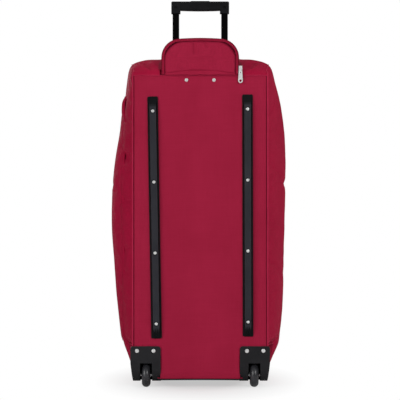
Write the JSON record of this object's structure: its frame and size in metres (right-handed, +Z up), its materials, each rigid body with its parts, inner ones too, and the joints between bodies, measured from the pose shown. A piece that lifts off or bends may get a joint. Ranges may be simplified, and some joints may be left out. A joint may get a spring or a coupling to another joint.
{
  "type": "rolling duffel bag",
  "caption": "Soft-sided upright rolling duffel with telescoping trolley handle, skid rails, corner wheels, side pocket and zipped lid.",
  "frame": {"origin": "centre of the footprint at floor level, the bag standing upright on its wheels and front feet", "axes": "+Z up towards the trolley handle; -Y out of the back panel that carries the skid rails; +X to the right seen from the back panel's side"},
  "size_m": [0.4538, 0.3704, 0.9887],
  "materials": {
    "panel_fabric": "coated woven polyester, slight sheen",
    "trim_fabric": "corded piping and binding",
    "zip_tape": "woven zipper tape and coil",
    "lining_fabric": "thin lining cloth",
    "webbing": "woven webbing",
    "zip_metal": "polished",
    "board_plastic": "smooth",
    "rail_plastic": "fine texture",
    "housing_plastic": "fine texture",
    "grip_plastic": "satin",
    "rivet_steel": "nickel plated",
    "axle_steel": "plain",
    "tube_aluminium": "black anodised",
    "wheel_rubber": "smooth tread",
    "hub_plastic": "smooth"
  },
  "bodies": {
    "bag": {"back_panel": "panel_fabric", "right_side_panel": "panel_fabric", "left_side_panel": "panel_fabric", "top_end_panel": "panel_fabric", "bottom_end_panel": "panel_fabric", "front_frame": "panel_fabric", "side_pocket": "panel_fabric", "corner_gussets": "panel_fabric", "edge_piping": "trim_fabric", "pocket_zipper": "zip_tape", "main_zipper_frame_side": "zip_tape", "flap_zipper_bag_side": "zip_tape", "tube_cover_lining": "lining_fabric", "well_lining": "lining_fabric", "carry_handle_anchors": "webbing", "zip_sliders": "zip_metal", "base_board": "board_plastic", "bottom_board": "board_plastic", "skid_rails": "rail_plastic", "right_wheel_housing": "housing_plastic", "left_wheel_housing": "housing_plastic", "front_feet": "housing_plastic", "tube_foot_bracket": "housing_plastic", "handle_tray": "housing_plastic", "tube_collars": "housing_plastic", "rail_rivets": "rivet_steel", "housing_rivets": "rivet_steel", "rivet_washers": "rivet_steel", "tray_rivets": "rivet_steel", "axle_washers": "rivet_steel", "foot_screws": "rivet_steel", "axles": "axle_steel", "outer_tubes": "tube_aluminium"},
    "handle": {"inner_tubes": "tube_aluminium", "grip_back_shell": "grip_plastic", "grip_front_shell": "grip_plastic", "grip_screws": "rivet_steel", "tube_end_plugs": "housing_plastic"},
    "button": {"release_button": "grip_plastic", "push_rods": "axle_steel"},
    "right_pin": {"right_lock_pin": "axle_steel"},
    "left_pin": {"left_lock_pin": "axle_steel"},
    "right_wheel": {"right_tyre": "wheel_rubber", "right_hub": "hub_plastic", "right_bearings": "axle_steel"},
    "left_wheel": {"left_tyre": "wheel_rubber", "left_hub": "hub_plastic", "left_bearings": "axle_steel"},
    "flap": {"handle_flap": "panel_fabric", "flap_binding": "trim_fabric", "flap_zipper_flap_side": "zip_tape", "flap_zip_slider": "zip_metal"},
    "flap_pull": {"flap_zip_pull": "zip_metal"},
    "lid": {"lid_panel": "panel_fabric", "main_zipper_lid_side": "zip_tape"},
    "main_pull": {"main_zip_pull": "zip_metal"},
    "pocket_pull": {"pocket_zip_pull": "zip_metal"},
    "right_carry": {"right_carry_handle": "webbing"},
    "left_carry": {"left_carry_handle": "webbing"}
  },
  "joints": [
    {"name": "handle_slide", "type": "slide", "parent": "bag", "child": "handle", "axis": [0, 0, 1], "range_m": [-0.18, 0.08]},
    {"name": "button_press", "type": "slide", "parent": "handle", "child": "button", "axis": [0, 0, -1], "range_m": [0, 0.005]},
    {"name": "right_pin_slide", "type": "slide", "parent": "handle", "child": "right_pin", "axis": [-1, 0, 0], "range_m": [0, 0.003]},
    {"name": "left_pin_slide", "type": "slide", "parent": "handle", "child": "left_pin", "axis": [1, 0, 0], "range_m": [0, 0.003]},
    {"name": "right_wheel_spin", "type": "hinge", "parent": "bag", "child": "right_wheel", "pos_m": [0.1383, -0.15225, 0.031], "axis": [1, 0, 0], "continuous": true},
    {"name": "left_wheel_spin", "type": "hinge", "parent": "bag", "child": "left_wheel", "pos_m": [-0.1383, -0.15225, 0.031], "axis": [1, 0, 0], "continuous": true},
    {"name": "flap_fold", "type": "hinge", "parent": "bag", "child": "flap", "pos_m": [0, -0.17825, 0.796], "axis": [1, 0, 0], "range_deg": [0, 160]},
    {"name": "flap_pull_swing", "type": "hinge", "parent": "flap", "child": "flap_pull", "pos_m": [0.1026, -0.18005, 0.809], "axis": [-1, 0, 0], "range_deg": [0, 160]},
    {"name": "lid_open", "type": "hinge", "parent": "bag", "child": "lid", "pos_m": [0, 0.17355, 0.111], "axis": [-1, 0, 0], "range_deg": [0, 95]},
    {"name": "main_pull_swing", "type": "hinge", "parent": "bag", "child": "main_pull", "pos_m": [-0.1196, 0.17575, 0.094], "axis": [1, 0, 0], "range_deg": [0, 85]},
    {"name": "pocket_pull_swing", "type": "hinge", "parent": "bag", "child": "pocket_pull", "pos_m": [-0.18496, 0.13588, 0.6962], "axis": [0.454, 0.891, 0], "range_deg": [0, 165]},
    {"name": "right_carry_swing", "type": "hinge", "parent": "bag", "child": "right_carry", "pos_m": [0.1575, 0.17715, 0.436], "axis": [0, 0, 1], "range_deg": [0, 100]},
    {"name": "left_carry_swing", "type": "hinge", "parent": "bag", "child": "left_carry", "pos_m": [-0.1575, 0.17715, 0.436], "axis": [0, 0, -1], "range_deg": [0, 100]}
  ],
  "couplings": [
    {"joint": "right_pin_slide", "follows": "button_press", "ratio": 0.6},
    {"joint": "left_pin_slide", "follows": "button_press", "ratio": 0.6},
    {"joint": "flap_pull_swing", "follows": "flap_fold", "ratio": 1}
  ]
}
